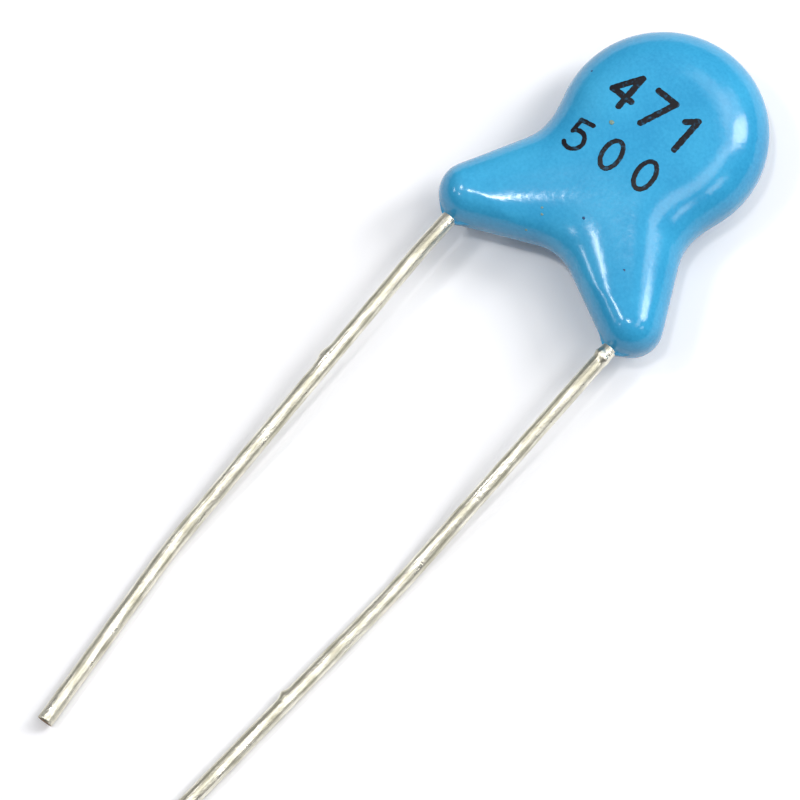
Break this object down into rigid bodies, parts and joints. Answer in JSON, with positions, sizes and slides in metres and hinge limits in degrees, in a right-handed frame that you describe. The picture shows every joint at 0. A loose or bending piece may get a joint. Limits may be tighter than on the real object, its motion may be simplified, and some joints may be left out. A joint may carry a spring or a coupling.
{
  "type": "ceramic disc capacitor",
  "caption": "Radial-leaded ceramic disc capacitor: a round chip dipped in glossy light-blue epoxy that runs down onto its tinned wire leads.",
  "frame": {"origin": "centre of the disc on the flat back of the coat, which rests on the table", "axes": "+Z out of the printed front, -Y along the leads, +X to the right seen from the front with the leads down"},
  "size_m": [0.0098, 0.0346, 0.0035],
  "materials": {
    "epoxy_coating": "glossy dipped epoxy with a soft orange peel",
    "tinned_wire": "bright tinned wire with fine scratches",
    "dielectric_ceramic": "matt sintered ceramic",
    "fired_silver": "matt fired silver",
    "tin_solder": "smooth solder"
  },
  "bodies": {
    "root": {"coating": "epoxy_coating", "left_lead": "tinned_wire", "right_lead": "tinned_wire", "ceramic_disc": "dielectric_ceramic", "front_electrode": "fired_silver", "rear_electrode": "fired_silver", "front_solder": "tin_solder", "rear_solder": "tin_solder"}
  },
  "joints": []
}
